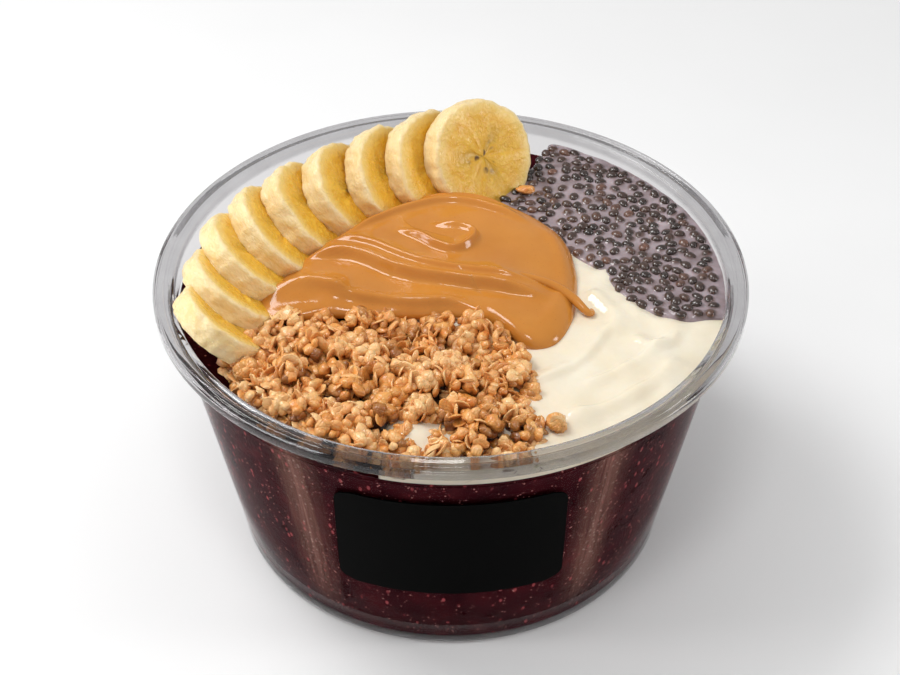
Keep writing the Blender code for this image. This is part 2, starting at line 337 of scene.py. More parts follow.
def clear_plastic():
    """Greyish clear plastic: glossy rim and foot, quieter where the dark fill lies against it."""
    finish = Finish("clear_plastic")
    cloud = finish.noise(90.0, 2.0)
    tint = finish.ramp(cloud, (0.3, (0.50, 0.49, 0.50)), (0.7, (0.57, 0.56, 0.57)))
    finish.set(Transmission_Weight=1.0, IOR=1.12, Coat_Weight=0.75, Coat_Roughness=0.05)
    finish.rough(finish.grade(cloud, 0.3, 0.7, 0.03, 0.08))
    finish.bump(finish.noise(60.0, 1.0), 0.15, 0.0004)
    wall = finish.add("ShaderNodeBsdfPrincipled")
    wall.inputs["Transmission Weight"].default_value = 1.0
    wall.inputs["IOR"].default_value = 1.04
    wall.inputs["Roughness"].default_value = 0.02
    wall.inputs["Specular IOR Level"].default_value = 0.5
    apart = finish.add("ShaderNodeSeparateXYZ")
    finish.join(finish.place, apart.inputs[0])
    height = apart.outputs["Z"]
    finish.colour(tint)
    shoulder = finish.grade(height, (SHOULDER_Z - 0.4) * MM, (SHOULDER_Z + 0.6) * MM)
    faint = finish.ramp(cloud, (0.3, (0.90, 0.89, 0.89)), (0.7, (0.96, 0.95, 0.95)))
    finish.join(finish.mix(shoulder, faint, (0.74, 0.73, 0.735)), wall.inputs["Base Color"])
    above = finish.grade(height, (BOWL_TOP - 3.2) * MM, (BOWL_TOP - 2.4) * MM)
    foot = finish.grade(height, HEEL_Z * MM, (HEEL_Z - 0.8) * MM)
    choice = finish.add("ShaderNodeMixShader")
    finish.join(finish.math("ADD", above, finish.math("MULTIPLY", foot, 0.25)), choice.inputs[0])
    finish.join(wall.outputs[0], choice.inputs[1])
    finish.join(finish.shader.outputs[0], choice.inputs[2])
    finish.join(choice.outputs[0], finish.nodes["Material Output"].inputs["Surface"])
    return finish.material


def label_film():
    finish = Finish("label_film")
    finish.set(Specular_IOR_Level=0.012)
    grain = finish.noise(2500.0, 3.0)
    finish.colour(finish.ramp(grain, (0.3, (0.0012, 0.0013, 0.0013)), (0.7, (0.0024, 0.0025, 0.0024))))
    finish.rough(finish.grade(grain, 0.3, 0.7, 0.45, 0.58))
    finish.bump(grain, 0.12, 0.00005)
    return finish.material


def acai_blend():
    """Dark berry blend with pink flecks, fine bubbles and two painted stripes of highlight sheen on the
    front.
    """
    finish = Finish("acai_blend")
    finish.set(Specular_IOR_Level=0.01)
    cloud = finish.noise(120.0, 5.0, 0.65)
    base = finish.ramp(
        cloud,
        (0.32, (0.020, 0.0016, 0.0035)), (0.55, (0.042, 0.0045, 0.0075)), (0.75, (0.080, 0.010, 0.013)),
    )
    slanted = finish.add("ShaderNodeMapping")
    slanted.inputs["Rotation"].default_value = (0.5, 0.3, 0.4)
    slanted.inputs["Scale"].default_value = (1.0, 1.0, 0.5)
    finish.join(finish.place, slanted.inputs["Vector"])
    fleck = finish.grade(finish.cells(430.0, where=slanted.outputs[0]), 0.12, 0.24, 1.0, 0.0)
    patch = finish.grade(finish.noise(230.0, 2.0), 0.44, 0.54)
    fine = finish.grade(finish.cells(900.0), 0.12, 0.26, 1.0, 0.0)
    fine = finish.math("MULTIPLY", fine, finish.grade(finish.noise(420.0, 2.0), 0.50, 0.58))
    flecked = finish.math("MULTIPLY", finish.math("MULTIPLY", fleck, patch), 0.85)
    tone = finish.mix(flecked, base, (0.42, 0.075, 0.085))
    tone = finish.mix(finish.math("MULTIPLY", fine, 0.85), tone, (0.60, 0.24, 0.22))
    apart = finish.add("ShaderNodeSeparateXYZ")
    finish.join(finish.place, apart.inputs[0])
    x, y, height = apart.outputs
    # Painted highlight: two upright stripes of bronze sheen with sparkles, fixed at angles either side of the
    # front of the bowl, stand in for the reflection of side lights on the wall.
    around = finish.math("ARCTAN2", x, finish.math("MULTIPLY", y, -1.0))
    near = finish.math("ABSOLUTE", finish.math("SUBTRACT", finish.math("ABSOLUTE", around), 0.58))
    sheen_streak_place = finish.add("ShaderNodeCombineXYZ")
    finish.join(finish.math("MULTIPLY", around, 55.0), sheen_streak_place.inputs[0])
    finish.join(finish.math("MULTIPLY", height, 30.0), sheen_streak_place.inputs[2])
    ragged = finish.noise(1.0, 5.0, 0.7, sheen_streak_place.outputs[0])
    sheen_band = finish.math("POWER", finish.grade(near, 0.13, 0.0), 1.6)
    sheen_band = finish.math("MULTIPLY", sheen_band, finish.grade(ragged, 0.38, 0.68, 0.3, 1.0))
    sheen_band = finish.math("MULTIPLY", sheen_band, finish.grade(height, 0.004, 0.020))
    sheen_sparkle = finish.grade(finish.cells(700.0), 0.05, 0.3, 1.0, 0.0)
    painted_sheen = finish.mix(sheen_sparkle, (0.34, 0.175, 0.135), (0.85, 0.62, 0.50))
    tone = finish.mix(finish.math("MULTIPLY", sheen_band, 0.85), tone, painted_sheen)
    finish.colour(tone)
    finish.rough(finish.grade(cloud, 0.3, 0.7, 0.25, 0.4))
    relief = finish.math("ADD", finish.noise(500.0, 3.0), finish.math("MULTIPLY", finish.cells(900.0), 0.6))
    finish.bump(relief, 0.2, 0.0005)
    return finish.material


def yogurt_cream():
    finish = Finish("yogurt_cream")
    finish.set(Subsurface_Weight=0.2, Subsurface_Scale=0.003, Specular_IOR_Level=0.55)
    finish.set(Coat_Weight=0.15, Coat_Roughness=0.06)
    finish.shader.inputs["Subsurface Radius"].default_value = (1.0, 0.75, 0.45)
    cloud = finish.noise(70.0, 3.0)
    finish.colour(finish.ramp(cloud, (0.3, (0.88, 0.77, 0.57)), (0.7, (0.93, 0.85, 0.69))))
    finish.rough(finish.grade(cloud, 0.3, 0.7, 0.09, 0.16))
    finish.bump(finish.noise(160.0, 3.0), 0.4, 0.001)
    return finish.material


def nut_spread():
    finish = Finish("nut_spread")
    finish.set(Subsurface_Weight=0.08, Subsurface_Scale=0.002, Specular_IOR_Level=0.5)
    finish.shader.inputs["Subsurface Radius"].default_value = (1.0, 0.45, 0.15)
    cloud = finish.noise(60.0, 4.0)
    base = finish.ramp(cloud, (0.3, (0.54, 0.200, 0.026)), (0.7, (0.62, 0.250, 0.042)))
    specks = finish.grade(finish.cells(700.0), 0.06, 0.14, 0.3, 0.0)
    finish.colour(finish.mix(specks, base, (0.32, 0.10, 0.02)))
    finish.rough(finish.grade(cloud, 0.3, 0.7, 0.08, 0.16))
    finish.bump(finish.noise(260.0, 3.0), 0.15, 0.0005)
    return finish.material


def chia_gel():
    """Milky lilac gel, browner and darker close to each seed: partly the seeds' own colour through the gel,
    partly painted shade around them.
    """
    finish = Finish("chia_gel")
    finish.set(Specular_IOR_Level=0.6, Subsurface_Weight=0.1, Subsurface_Scale=0.002)
    cloud = finish.noise(150.0, 4.0)
    milky = finish.ramp(cloud, (0.3, (0.23, 0.17, 0.175)), (0.7, (0.50, 0.41, 0.44)))
    seed_tone_and_shade = finish.attribute("tint", "Fac")
    finish.colour(finish.mix(finish.grade(seed_tone_and_shade, 0.1, 0.75), milky, (0.13, 0.078, 0.068)))
    finish.rough(finish.grade(cloud, 0.3, 0.7, 0.10, 0.2))
    finish.bump(finish.noise(700.0, 2.0), 0.2, 0.0003)
    return finish.material


def chia_seed():
    finish = Finish("chia_seed")
    finish.set(Specular_IOR_Level=0.6, Coat_Weight=0.7, Coat_Roughness=0.08)
    tint = finish.attribute("tint", "Fac")
    base = finish.ramp(
        tint, (0.0, (0.018, 0.008, 0.005)), (0.5, (0.065, 0.028, 0.017)), (1.0, (0.24, 0.10, 0.06)),
    )
    mottle = finish.grade(finish.noise(1500.0, 3.0), 0.35, 0.65, 0.6, 1.3)
    finish.colour(finish.mix(1.0, base, mottle, "MULTIPLY"))
    finish.rough(finish.grade(tint, 0.0, 1.0, 0.25, 0.4))
    return finish.material


def toasted_oats(name, lightest, middle, darkest):
    """Honeyed toasted oats, paler or darker by each lump, with painted shade making them darker down in the
    gaps.
    """
    finish = Finish(name)
    finish.set(Subsurface_Weight=0.1, Subsurface_Scale=0.0015, Specular_IOR_Level=0.5)
    finish.set(Coat_Weight=0.6, Coat_Roughness=0.14)
    tint = finish.attribute("tint", "Fac")
    base = finish.ramp(tint, (0.0, darkest), (0.5, middle), (1.0, lightest))
    mottle = finish.ramp(finish.noise(420.0, 4.0, 0.6), (0.3, (0.84, 0.56, 0.34)), (0.6, (1.0, 1.0, 1.0)))
    finish.colour(finish.mix(0.8, base, mottle, "MULTIPLY"))
    finish.rough(finish.grade(finish.noise(300.0, 2.0), 0.3, 0.7, 0.25, 0.5))
    wrinkles = finish.grade(finish.cells(620.0, "DISTANCE_TO_EDGE"), 0.0, 0.16)
    relief = finish.math("ADD", finish.noise(700.0, 4.0, 0.65), finish.math("MULTIPLY", wrinkles, 0.4))
    finish.bump(relief, 0.5, 0.0007)
    return finish.material


def banana_flesh():
    """Golden wet face with a three-way seeded heart, a pale ring and a pale cream side."""
    finish = Finish("banana_flesh")
    finish.set(Subsurface_Weight=0.12, Subsurface_Scale=0.003, Specular_IOR_Level=0.6)
    finish.shader.inputs["Subsurface Radius"].default_value = (1.0, 0.7, 0.25)
    place = finish.attribute("slice_place", "Vector")
    apart = finish.add("ShaderNodeSeparateXYZ")
    finish.join(place, apart.inputs[0])
    x, y, depth = apart.outputs
    squares = finish.math("ADD", finish.math("POWER", x, 2.0), finish.math("POWER", y, 2.0))
    radius = finish.math("SQRT", squares)
    angle = finish.math("ARCTAN2", y, x)
    cloud = finish.noise(2.2, 4.0, 0.6, place)
    bent = finish.math("ADD", finish.math("MULTIPLY", angle, 3.0), finish.math("MULTIPLY", cloud, 4.0))
    lobes = finish.math("COSINE", bent)
    seam = finish.grade(lobes, 0.45, 0.98)
    core = finish.math("MULTIPLY", seam, finish.grade(radius, 0.70, 0.35))
    fibre = finish.add("ShaderNodeCombineXYZ")
    finish.join(finish.math("MULTIPLY", lobes, 2.5), fibre.inputs[0])
    finish.join(finish.math("MULTIPLY", radius, 2.2), fibre.inputs[1])
    finish.join(depth, fibre.inputs[2])
    rays = finish.noise(1.8, 4.0, 0.6, fibre.outputs[0])
    face = finish.ramp(
        rays, (0.3, (0.79, 0.40, 0.018)), (0.55, (0.88, 0.51, 0.045)), (0.8, (0.93, 0.63, 0.11)),
    )
    ring = finish.grade(radius, 0.72, 0.9)
    face = finish.mix(finish.math("MULTIPLY", ring, 0.75), face, (0.92, 0.68, 0.22))
    face = finish.mix(finish.math("MULTIPLY", core, 0.8), face, (0.62, 0.36, 0.030))
    seeds = finish.grade(finish.cells(6.0, where=place), 0.26, 0.42, 1.0, 0.0)
    seeds = finish.math("MULTIPLY", seeds, finish.grade(radius, 0.40, 0.18))
    seeds = finish.math("MULTIPLY", seeds, finish.grade(lobes, -0.4, 0.6))
    face = finish.mix(finish.math("MULTIPLY", seeds, 0.95), face, (0.10, 0.032, 0.010))
    side = finish.ramp(cloud, (0.3, (0.90, 0.66, 0.29)), (0.7, (0.94, 0.75, 0.43)))
    on_side = finish.grade(radius, 0.91, 0.97)
    finish.colour(finish.mix(on_side, face, side))
    finish.rough(finish.grade(cloud, 0.3, 0.7, 0.2, 0.36))
    relief = finish.math("SUBTRACT", rays, finish.math("MULTIPLY", core, 1.2))
    relief = finish.math("ADD", relief, finish.math("MULTIPLY", finish.noise(9.0, 3.0, 0.6, place), 1.0))
    finish.bump(relief, 0.5, 0.0008)
    return finish.material


def floor_card():
    finish = Finish("floor_card")
    finish.set(Roughness=0.9, Specular_IOR_Level=0.1)
    finish.colour(finish.ramp(finish.noise(8.0), (0.3, (0.90, 0.90, 0.90)), (0.7, (0.93, 0.93, 0.93))))
    return finish.material


# ---------------------------------------------------------------- bowl

def wall_radius(height):
    share = (height - HEEL_Z) / (SHOULDER_Z - HEEL_Z)
    return HEEL_RADIUS + (WALL_TOP_RADIUS - HEEL_RADIUS) * share


def inner_radius(height):
    if height > SHOULDER_Z:
        return SHOULDER_RADIUS - WALL
    return wall_radius(height) - WALL


def arc(centre_r, centre_z, radius_r, radius_z, start, stop, count):
    angles = [math.radians(start + (stop - start) * i / (count - 1)) for i in range(count)]
    return [(centre_r + radius_r * math.cos(a), centre_z + radius_z * math.sin(a)) for a in angles]


def rim_profile():
    """Flange with rounded rings, an outer lip and the clear wall under it."""
    top = BOWL_TOP
    points = arc(FLANGE_INNER + 0.9, top - 0.7, 0.9, 0.6, 180, 60, 5)
    points += arc(FLANGE_INNER + 2.1, top - 0.45, 0.55, 0.35, 235, 305, 4)
    points += arc(FLANGE_INNER + 3.3, top - 0.6, 0.8, 0.6, 150, 30, 5)
    points += arc(FLANGE_INNER + 4.35, top - 0.55, 0.35, 0.25, 235, 300, 3)
    points += arc(RIM_RADIUS - 0.6, top - 0.95, 0.6, 0.6, 90, 0, 5)
    points += arc(RIM_RADIUS - 0.4, top - 2.5, 0.4, 0.3, 0, -180, 6)
    points += [(RIM_RADIUS - 0.85, top - 1.7), (RIM_RADIUS - 1.2, top - 1.45)]
    points += [(SHOULDER_RADIUS + 0.9, top - 1.45), (SHOULDER_RADIUS + 0.3, top - 1.8)]
    points += [(SHOULDER_RADIUS + 0.15, top - 2.6)]
    return points


def outer_wall():
    points = [(SHOULDER_RADIUS, SHOULDER_Z + 0.9)]
    points += arc(SHOULDER_RADIUS - 0.35, SHOULDER_Z + 0.6, 0.35, 0.35, 0, -70, 4)
    points += [(WALL_TOP_RADIUS + 0.05, SHOULDER_Z + 0.05), (WALL_TOP_RADIUS - 0.05, SHOULDER_Z - 0.3)]
    for share in (0.25, 0.5, 0.75):
        height = SHOULDER_Z + (HEEL_Z - SHOULDER_Z) * share
        points.append((wall_radius(height), height))
    points += [(HEEL_RADIUS, HEEL_Z + 0.2), (HEEL_RADIUS - 0.15, HEEL_Z - 0.15)]
    points += [(HEEL_RADIUS - 0.55, HEEL_Z - 0.5), (FOOT_RADIUS + 0.75, 3.2)]
    points += arc(FOOT_RADIUS - 1.6, 2.4, 2.3, 2.4, 0, -90, 7)
    return points


def inner_wall():
    points = [(0.0, FLOOR_TOP), (FOOT_RADIUS * 0.5, FLOOR_TOP)]
    points += arc(FOOT_RADIUS - 2.6, FLOOR_TOP + 2.2, 2.2, 2.2, -90, -5, 6)
    points += [(HEEL_RADIUS - 0.55 - WALL, HEEL_Z - 0.4), (HEEL_RADIUS - WALL, HEEL_Z + 0.3)]
    points += [(WALL_TOP_RADIUS - WALL, SHOULDER_Z - 0.1), (WALL_TOP_RADIUS - WALL + 0.25, SHOULDER_Z + 0.25)]
    points += [(SHOULDER_RADIUS - WALL, SHOULDER_Z + 0.8), (FLANGE_INNER - 0.1, BOWL_TOP - 2.0)]
    return points


def make_bowl():
    profile = inner_wall() + rim_profile() + outer_wall() + [(0.0, 0.0)]
    bowl = spin_profile("clear_bowl", profile, 144)
    smooth(bowl, 50)
    finish_piece(bowl, "clear_plastic", clear_plastic(), "bowl")


def acai_lap(angle):
    """How far the acai laps up the shoulder: a scalloped hump at the front right, a rise at the left."""
    hump = np.exp(-((angle + 1.35) / 0.17) ** 4) * (2.6 + 0.7 * np.sin(angle * 37.0))
    hump += 1.8 * np.exp(-((angle + 2.3) / 0.3) ** 4)
    return hump + 0.30 * np.sin(angle * 9.0) + 0.2 * np.sin(angle * 23.0 + 1.0)


def make_acai():
    """Dark fill that reaches just into the clear wall."""
    reach = 0.12
    shoulder_inside = SHOULDER_RADIUS - WALL + reach
    points = [(0.0, ACAI_TOP - 0.5), (30.0, ACAI_TOP - 0.5), (52.0, ACAI_TOP - 0.3), (62.0, ACAI_TOP)]
    points += [(66.5, ACAI_TOP + 0.6), (shoulder_inside - 0.6, SHOULDER_Z + 0.95)]
    points += [(shoulder_inside, SHOULDER_Z + 0.85), (WALL_TOP_RADIUS - WALL + 0.37, SHOULDER_Z + 0.3)]
    points += [(WALL_TOP_RADIUS - WALL + reach, SHOULDER_Z - 0.1)]
    for share in (0.2, 0.4, 0.6, 0.8):
        height = ACAI_TOP + (HEEL_Z - ACAI_TOP) * share
        points.append((inner_radius(height) + reach, height))
    points += [(HEEL_RADIUS - WALL + reach, HEEL_Z + 0.3), (HEEL_RADIUS - 0.55 - WALL + reach, HEEL_Z - 0.4)]
    points += arc(FOOT_RADIUS - 2.6, FLOOR_TOP + 2.2, 2.2 + reach, 2.2 + reach, -5, -90, 6)
    points += [(0.0, FLOOR_TOP - reach)]
    acai = spin_profile("acai_fill", points, 200)
    places = coordinates(acai)
    angle = np.arctan2(places[:, 1], places[:, 0])
    radius = np.hypot(places[:, 0], places[:, 1])
    at_shoulder = smoothstep(SHOULDER_Z + 0.6, SHOULDER_Z + 0.8, places[:, 2])
    on_top = smoothstep(ACAI_TOP - 1.0, ACAI_TOP - 0.5, places[:, 2])
    places[:, 2] += at_shoulder * smoothstep(66.0, 68.5, radius) * np.maximum(acai_lap(angle), -0.05)
    ripple = 0.5 * wavy(places[:, 0], places[:, 1], 5.0, 3.0)
    places[:, 2] += on_top * (1 - smoothstep(60.0, 66.0, radius)) * ripple
    place_vertices(acai, places)
    smooth(acai, 60)
    finish_piece(acai, "acai", acai_blend(), "acai")


def layer_floor(x, y):
    """Underside of what lies on the acai, lifted over the shoulder of the wall."""
    return ACAI_TOP + 0.4 + 1.9 * smoothstep(61.0, 67.5, np.hypot(x, y))


LABEL_HALF_WIDTH = 27.4
LABEL_BOTTOM = 24.0
LABEL_TOP = 60.7
LABEL_CORNER = 4.0
LABEL_THICKNESS = 0.3
LABEL_GAP = 0.3


def make_label():
    """Thin bare film with rounded corners, wrapped on the front of the tapered wall."""
    deselect()
    bpy.ops.mesh.primitive_cube_add(size=2.0)
    label = bpy.context.object
    label.name = label.data.name = "label_film"
    bpy.ops.object.mode_set(mode="EDIT")
    bpy.ops.mesh.select_all(action="SELECT")
    bpy.ops.mesh.subdivide(number_cuts=39)
    bpy.ops.object.mode_set(mode="OBJECT")
    unit = coordinates(label) * MM
    middle = (LABEL_TOP + LABEL_BOTTOM) / 2
    half_height = (LABEL_TOP - LABEL_BOTTOM) / 2
    height = middle + unit[:, 2] * half_height
    into_corner = np.maximum(0.0, np.abs(unit[:, 2]) * half_height - half_height + LABEL_CORNER)
    trim = LABEL_CORNER - np.sqrt(np.maximum(0.0, LABEL_CORNER ** 2 - into_corner ** 2))
    across = unit[:, 0] * (LABEL_HALF_WIDTH - trim)
    radius = wall_radius(height) + LABEL_GAP + LABEL_THICKNESS * (0.5 - 0.5 * unit[:, 1])
    place_vertices(label, np.stack([across, -np.sqrt(radius ** 2 - across ** 2), height], 1))
    smooth(label, 40)
    finish_piece(label, "label", label_film(), "label")


# ---------------------------------------------------------------- yogurt, chia, butter

BUTTER_OUTLINE = (
    (-48.5, -10.5), (-47.5, -16.0), (-42.0, -19.0), (-35.0, -17.5), (-30.0, -16.5),
    (-24.0, -16.5), (-18.0, -17.0), (-8.0, -17.0), (1.0, -16.5), (9.0, -18.0),
    (14.0, -22.5), (17.5, -26.5), (21.5, -27.8), (26.5, -25.0), (29.8, -19.0),
    (31.8, -9.0), (32.6, 2.0), (31.0, 14.0), (26.0, 22.0), (18.0, 28.5),
    (8.0, 33.0), (-2.0, 34.0), (-12.0, 30.0), (-22.0, 23.0), (-32.0, 13.0), (-40.0, 3.0),
)
BUTTER_CENTRE = (-2.0, 4.0)
BUTTER_LEVEL = 77.6
BUTTER_SHEETS = (
    (((-41.0, 3.0), (-37.0, 4.3), (-28.0, 4.6), (-21.5, 1.4), (-13.0, -4.4),
      (-3.7, -7.3), (7.7, -8.6), (18.0, -10.9), (26.0, -13.0)), 1.9, 1.3, 5.5),
    (((-46.0, -11.0), (-40.0, -8.5), (-32.7, -9.3), (-26.4, -12.0),
      (-17.0, -14.0), (-8.8, -15.0), (0.0, -14.0), (9.0, -17.5)), 1.3, 1.6, 3.5),
    (((-36.0, 8.0), (-28.4, 10.3), (-21.0, 8.0), (-13.3, 2.8),
      (-4.8, -1.4), (5.6, -3.6), (15.0, -5.6), (24.0, -8.0)), 0.9, 1.1, 3.0),
    (((-16.0, 14.5), (-9.2, 11.3), (-3.8, 6.5), (1.5, 4.1),
      (6.3, 8.3), (7.3, 13.2), (2.0, 16.6), (-7.0, 17.0)), 1.3, 1.2, 3.5),
    (((-28.5, 12.0), (-20.1, 18.2), (-11.6, 23.6), (-3.9, 26.8),
      (3.7, 26.8), (12.5, 22.5), (22.0, 17.0)), 1.2, 1.3, 4.0),
    (((-27.0, 19.0), (-18.2, 26.0), (-9.5, 29.6),
      (-0.7, 31.0), (8.2, 29.3), (18.0, 25.8)), 0.8, 1.1, 3.0),
)
YOGURT_OUTLINE = (
    (-15.0, -58.0), (-17.0, -67.0), (-16.0, -74.0), (0.0, -76.0), (20.0, -73.0), (40.0, -64.0), (56.0, -50.0),
    (68.0, -32.0), (75.0, -12.0), (75.0, 4.0), (62.0, 10.0), (45.0, 16.0), (30.0, 20.0),
    (10.0, 22.0), (-8.0, 18.0), (-20.0, 4.0), (-26.0, -12.0), (-24.0, -30.0), (-17.0, -46.0),
)
YOGURT_CENTRE = (18.0, -26.0)
YOGURT_LEVEL = 71.9
YOGURT_FOLDS = (
    (((17.0, -40.0), (24.5, -37.0), (32.2, -31.0), (36.0, -24.0), (39.0, -17.0)), 1.5, 2.0, 0.35),
    (((24.8, -51.0), (36.6, -47.5), (46.2, -40.5), (56.0, -29.0)), 1.4, 2.2, -0.3),
    (((34.0, -4.0), (38.0, -10.0), (41.0, -16.0), (38.0, -22.0)), 1.3, 2.2, 0.3),
    (((44.0, -21.0), (49.0, -25.5), (54.0, -24.0), (56.0, -18.0)), 1.2, 1.7, 0.2),
    (((30.0, -41.0), (38.0, -36.0), (46.1, -30.0), (54.0, -20.0)), 1.2, 1.7, -0.35),
    (((30.0, -60.0), (44.0, -52.0), (56.0, -39.0)), 0.9, 2.4, 0.2),
    (((42.0, -8.0), (50.0, -15.5), (60.0, -18.5)), 1.0, 2.0, 0.0),
)
CHIA_OUTLINE = (
    (11.0, 27.0), (13.0, 38.0), (20.0, 50.0), (26.0, 60.0), (30.0, 72.0), (50.0, 62.0),
    (66.0, 42.0), (76.0, 20.0), (78.0, 0.0), (72.0, -14.0), (63.0, -16.5), (55.5, -16.0),
    (48.0, -12.0), (42.0, -5.5), (38.0, 3.5), (33.0, 9.0), (27.0, 14.0), (18.0, 22.0),
)
CHIA_CENTRE = (44.0, 24.0)


def yogurt_height(x, y):
    height = YOGURT_LEVEL + 1.0 * smoothstep(52.0, 30.0, np.hypot(x - 8, y + 8))
    height += 0.55 * wavy(x, y, 15.0, 7.0) + 0.42 * wavy(x, y, 6.5, 2.0)
    angle = np.arctan2(y - HEAP_CENTRE[1], x - HEAP_CENTRE[0])
    from_centre = np.hypot(x - HEAP_CENTRE[0], y - HEAP_CENTRE[1])
    inside = outline_radius(HEAP_OUTLINE, HEAP_CENTRE, angle) - from_centre
    height -= 1.7 * smoothstep(0.5, 4.0, inside)
    ragged = x + 2.2 * wavy(x, y, 3.0, 8.0)
    height -= 4.2 * smoothstep(2.0, 17.0, -ragged) * smoothstep(58.0, 66.0, np.hypot(x, y))
    for path, rise, width, lean in YOGURT_FOLDS:
        height += fold(x, y, path, rise * 0.85, width, lean)
    height += 3.4 * np.exp(-(((x + 8.0) / 9.0) ** 2 + ((y + 57.0) / 7.0) ** 2))
    return height


def make_yogurt():
    yogurt = spread(
        "yogurt_layer", YOGURT_OUTLINE, YOGURT_CENTRE, 260, 180,
        layer_floor, yogurt_height, 40.0, INNER_REACH,
    )
    finish_piece(yogurt, "yogurt", yogurt_cream(), "yogurt")


def seed_places(rng, count, spacing):
    """Even but random plan places inside the chia outline."""
    taken = []
    tries = 0
    while len(taken) < count and tries < 60000:
        tries += 1
        x, y = rng.uniform(10.0, 70.0), rng.uniform(-18.0, 68.0)
        if math.hypot(x, y) > INNER_REACH - 1.9:
            continue
        angle = math.atan2(y - CHIA_CENTRE[1], x - CHIA_CENTRE[0])
        reach = float(outline_radius(CHIA_OUTLINE, CHIA_CENTRE, np.array([angle]))[0])
        if math.hypot(x - CHIA_CENTRE[0], y - CHIA_CENTRE[1]) > reach - 1.7:
            continue
        if all((x - a) ** 2 + (y - b) ** 2 > spacing ** 2 for a, b in taken):
            taken.append((x, y))
    return taken


def make_chia():
    rng = np.random.default_rng(11)
    taken = seed_places(rng, 700, 2.62)
    spots = np.array(taken)

    def base(x, y):
        return 73.1 + 0.45 * wavy(x, y, 14.0, 5.0) + 0.25 * wavy(x, y, 5.0, 9.0)

    def top(x, y):
        height = base(x, y)
        for i in range(0, len(x), 4000):
            part = slice(i, i + 4000)
            away = np.hypot(x[part, None] - spots[None, :, 0], y[part, None] - spots[None, :, 1])
            height[part] += 0.6 * np.exp(-(away.min(1) / 1.35) ** 4)
        return height

    gel = spread("chia_gel", CHIA_OUTLINE, CHIA_CENTRE, 320, 220, layer_floor, top, 60.0, INNER_REACH)
    places = coordinates(gel)
    nearest = np.concatenate([
        np.hypot(part[:, None, 0] - spots[None, :, 0], part[:, None, 1] - spots[None, :, 1]).min(1)
        for part in np.array_split(places, 20)
    ])
    # Closeness to the seeds, for the gel to go browner and darker there: partly the seeds' own colour through
    # the gel, partly painted shade around each seed.
    layer = gel.data.attributes.new("tint", "FLOAT", "POINT")
    layer.data.foreach_set("value", np.exp(-((nearest / 1.45) ** 4)).astype(np.float32))
    finish_piece(gel, "chia_pudding", chia_gel(), "chia_pudding")

    deselect()
    bpy.ops.mesh.primitive_ico_sphere_add(subdivisions=2, radius=1.0)
    model = bpy.context.object
    shape = coordinates(model) * MM
    heights = base(spots[:, 0], spots[:, 1])
    seeds = []
    for (x, y), height in zip(taken, heights):
        long, wide = rng.uniform(1.45, 1.8), rng.uniform(1.16, 1.4)
        turn = Euler((rng.uniform(-0.4, 0.4), rng.uniform(-0.4, 0.4), rng.uniform(0, math.pi))).to_matrix()
        body = shape * np.array([long, wide, wide * 0.8])
        body = body @ np.array(turn).T + np.array([x, y, height + 0.05 + rng.uniform(-0.22, 0.2)])
        seed = bpy.data.objects.new("seed", model.data.copy())
        bpy.context.collection.objects.link(seed)
        place_vertices(seed, body)
        give_tint(seed, rng.beta(1.6, 3.0))
        seeds.append(seed)
    bpy.data.objects.remove(model)
    seeds = join(seeds, "chia_seeds")
    smooth(seeds)
    finish_piece(seeds, "chia_pudding", chia_seed())


def sheet(x, y, path, height, width, reach):
    """The edge of one folded sheet: a soft cliff in front of a path that sinks away behind it."""
    away, side, along = near_path(x, y, rounded(path))
    signed = away * side
    ends = smoothstep(0.0, 0.2, along) * smoothstep(0.0, 0.2, 1 - along)
    cliff = 1 / (1 + np.exp(-np.clip(signed / width * 3.0, -30, 30)))
    lip = 0.45 * np.exp(-((signed - width * 0.8) / (width * 0.9)) ** 2)
    tail = np.exp(-np.maximum(signed, 0.0) / reach)
    return height * ends * (cliff + lip) * tail


def butter_height(x, y):
    height = BUTTER_LEVEL - 0.9 * smoothstep(10.0, 42.0, np.hypot((x + 2) * 0.8, y - 10))
    height += 1.1 * smoothstep(-10.0, 24.0, y)
    height += 0.25 * wavy(x, y, 9.0, 4.0)
    for path, rise, width, reach in BUTTER_SHEETS:
        height += sheet(x, y, path, rise * 1.5, width * 0.85, reach)
    right_brow = ((22.0, 20.0), (28.0, 10.0), (29.5, -2.0), (27.0, -14.0), (21.0, -22.0))
    left_lip = ((-50.0, -9.0), (-42.0, -8.5), (-34.0, -8.0), (-24.0, -10.5))
    height += fold(x, y, right_brow, 0.9, 2.8, 0.3)
    height += fold(x, y, left_lip, 2.3, 3.6, 0.0)
    return height


